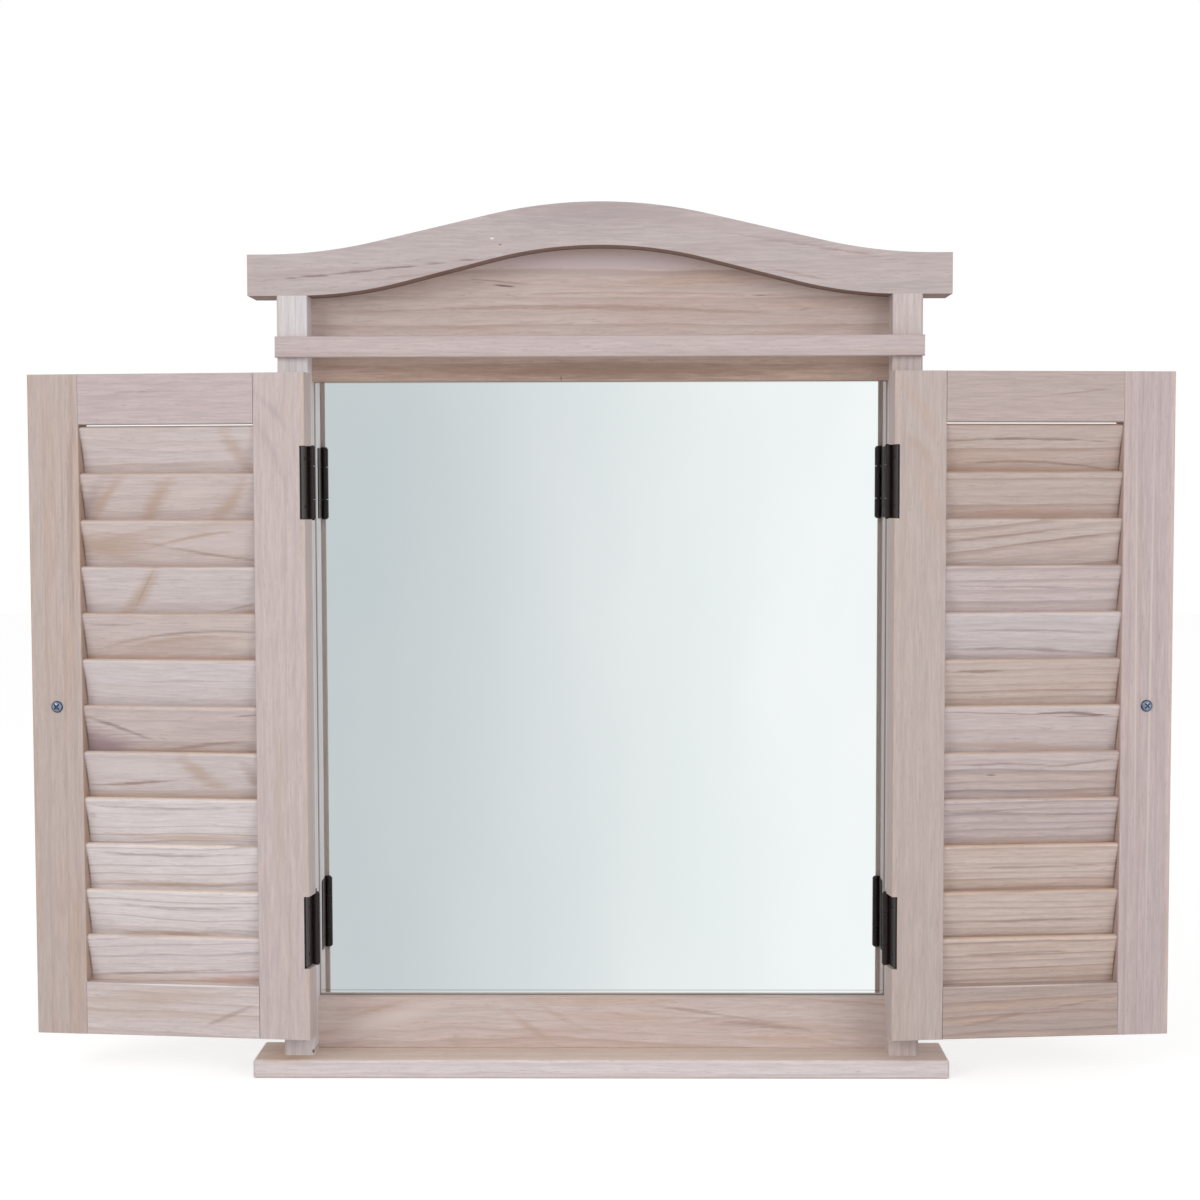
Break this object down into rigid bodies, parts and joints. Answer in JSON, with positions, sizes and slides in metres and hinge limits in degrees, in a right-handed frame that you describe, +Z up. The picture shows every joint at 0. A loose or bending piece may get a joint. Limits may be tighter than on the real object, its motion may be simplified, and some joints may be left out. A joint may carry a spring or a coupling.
{
  "type": "shutter mirror",
  "caption": "Wall mirror in a plain wooden frame with a wave-shaped cornice and a sill, behind louvred shutters that swing open on butt hinges.",
  "frame": {"origin": "in the wall plane, midway between the round holes of the keyhole plates that the mirror hangs on", "axes": "+X to the viewer's right, +Y into the wall, +Z up; the mirror faces -Y"},
  "size_m": [0.6864, 0.0577, 0.5252],
  "materials": {
    "pale_wood": "bare pale softwood, planed, slightly greyed",
    "panel_wood": "bare pale softwood, a warmer board, planed",
    "slat_wood": "bare pale softwood, thin planed slats of mixed tones",
    "turned_wood": "bare turned wood, sanded",
    "black_iron": "dark bronzed steel, satin",
    "zinc_steel": "bright zinc plate, slightly blue",
    "silvered_glass": "silvered float glass",
    "hardboard": "brown hardboard, smooth side out"
  },
  "bodies": {
    "frame": {"left_post": "pale_wood", "right_post": "pale_wood", "cornice": "pale_wood", "header_panel": "panel_wood", "cross_strip": "pale_wood", "bottom_rail": "panel_wood", "sill": "pale_wood", "mirror_glass": "silvered_glass", "backing_board": "hardboard", "backing_brads": "zinc_steel", "hanger_plates": "zinc_steel", "hanger_screws": "zinc_steel", "sill_screws": "zinc_steel", "cornice_screws": "zinc_steel", "strip_brads": "zinc_steel", "rail_dowels": "turned_wood", "left_post_leaves": "black_iron", "right_post_leaves": "black_iron", "hinge_pins": "black_iron", "post_leaf_screws": "black_iron"},
    "left_shutter": {"left_hinge_stile": "pale_wood", "left_closing_stile": "pale_wood", "left_top_rail": "pale_wood", "left_low_rail": "pale_wood", "left_slat_01": "slat_wood", "left_slat_02": "slat_wood", "left_slat_03": "slat_wood", "left_slat_04": "slat_wood", "left_slat_05": "slat_wood", "left_slat_06": "slat_wood", "left_slat_07": "slat_wood", "left_slat_08": "slat_wood", "left_slat_09": "slat_wood", "left_slat_10": "slat_wood", "left_slat_11": "slat_wood", "left_slat_12": "slat_wood", "left_knob": "turned_wood", "left_knob_screw": "zinc_steel", "left_shutter_leaves": "black_iron", "left_leaf_screws": "black_iron"},
    "right_shutter": {"right_hinge_stile": "pale_wood", "right_closing_stile": "pale_wood", "right_top_rail": "pale_wood", "right_low_rail": "pale_wood", "right_slat_01": "slat_wood", "right_slat_02": "slat_wood", "right_slat_03": "slat_wood", "right_slat_04": "slat_wood", "right_slat_05": "slat_wood", "right_slat_06": "slat_wood", "right_slat_07": "slat_wood", "right_slat_08": "slat_wood", "right_slat_09": "slat_wood", "right_slat_10": "slat_wood", "right_slat_11": "slat_wood", "right_slat_12": "slat_wood", "right_knob": "turned_wood", "right_knob_screw": "zinc_steel", "right_shutter_leaves": "black_iron", "right_leaf_screws": "black_iron"}
  },
  "joints": [
    {"name": "left_shutter_hinge", "type": "hinge", "parent": "frame", "child": "left_shutter", "pos_m": [-0.1724, -0.0393, 0], "axis": [0, 0, 1], "range_deg": [0, 187.4]},
    {"name": "right_shutter_hinge", "type": "hinge", "parent": "frame", "child": "right_shutter", "pos_m": [0.1724, -0.0393, 0], "axis": [0, 0, -1], "range_deg": [0, 187.4]}
  ]
}
